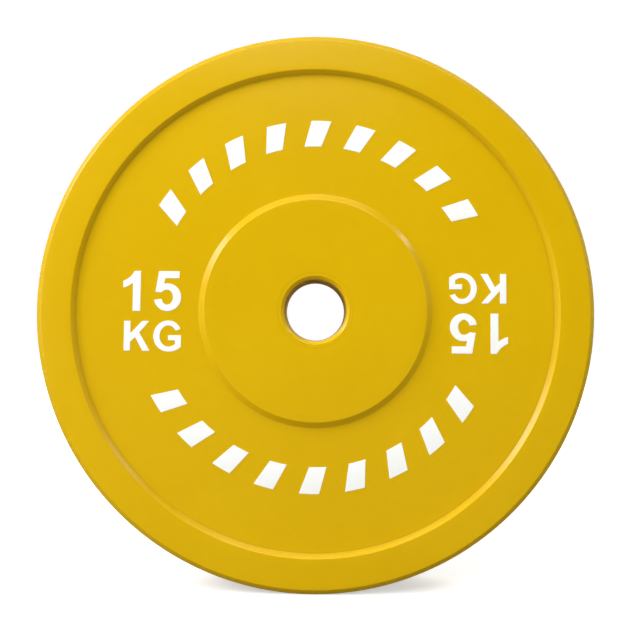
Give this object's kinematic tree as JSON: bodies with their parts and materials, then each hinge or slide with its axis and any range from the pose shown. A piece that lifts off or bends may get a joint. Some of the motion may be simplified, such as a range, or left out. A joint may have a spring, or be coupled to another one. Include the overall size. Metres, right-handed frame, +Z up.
{
  "type": "olympic weight plate",
  "caption": "Thick round rubber weight plate with a raised rim and hub, a recessed web with white inlaid marks, and a steel-lined centre bore.",
  "frame": {"origin": "centre of the bore, half way through the plate's thickness", "axes": "+Z up with the plate standing upright, Y along the bore with the front face towards -Y, +X to the right seen from the front"},
  "size_m": [0.4498, 0.064, 0.4498],
  "materials": {
    "yellow_rubber": "satin",
    "white_rubber": "satin",
    "sleeve_steel": "satin",
    "flange_steel": "matte"
  },
  "bodies": {
    "root": {"rubber_disc": "yellow_rubber", "bore_sleeve": "sleeve_steel", "anchor_flange": "flange_steel", "numeral_one_front_left": "white_rubber", "numeral_one_front_right": "white_rubber", "numeral_one_rear_left": "white_rubber", "numeral_one_rear_right": "white_rubber", "numeral_five_front_left": "white_rubber", "numeral_five_front_right": "white_rubber", "numeral_five_rear_left": "white_rubber", "numeral_five_rear_right": "white_rubber", "letter_k_front_left": "white_rubber", "letter_k_front_right": "white_rubber", "letter_k_rear_left": "white_rubber", "letter_k_rear_right": "white_rubber", "letter_g_front_left": "white_rubber", "letter_g_front_right": "white_rubber", "letter_g_rear_left": "white_rubber", "letter_g_rear_right": "white_rubber", "bar_1_front_upper": "white_rubber", "bar_1_front_lower": "white_rubber", "bar_1_rear_upper": "white_rubber", "bar_1_rear_lower": "white_rubber", "bar_2_front_upper": "white_rubber", "bar_2_front_lower": "white_rubber", "bar_2_rear_upper": "white_rubber", "bar_2_rear_lower": "white_rubber", "bar_3_front_upper": "white_rubber", "bar_3_front_lower": "white_rubber", "bar_3_rear_upper": "white_rubber", "bar_3_rear_lower": "white_rubber", "bar_4_front_upper": "white_rubber", "bar_4_front_lower": "white_rubber", "bar_4_rear_upper": "white_rubber", "bar_4_rear_lower": "white_rubber", "bar_5_front_upper": "white_rubber", "bar_5_front_lower": "white_rubber", "bar_5_rear_upper": "white_rubber", "bar_5_rear_lower": "white_rubber", "bar_6_front_upper": "white_rubber", "bar_6_front_lower": "white_rubber", "bar_6_rear_upper": "white_rubber", "bar_6_rear_lower": "white_rubber", "bar_7_front_upper": "white_rubber", "bar_7_front_lower": "white_rubber", "bar_7_rear_upper": "white_rubber", "bar_7_rear_lower": "white_rubber", "bar_8_front_upper": "white_rubber", "bar_8_front_lower": "white_rubber", "bar_8_rear_upper": "white_rubber", "bar_8_rear_lower": "white_rubber", "bar_9_front_upper": "white_rubber", "bar_9_front_lower": "white_rubber", "bar_9_rear_upper": "white_rubber", "bar_9_rear_lower": "white_rubber"}
  },
  "joints": []
}
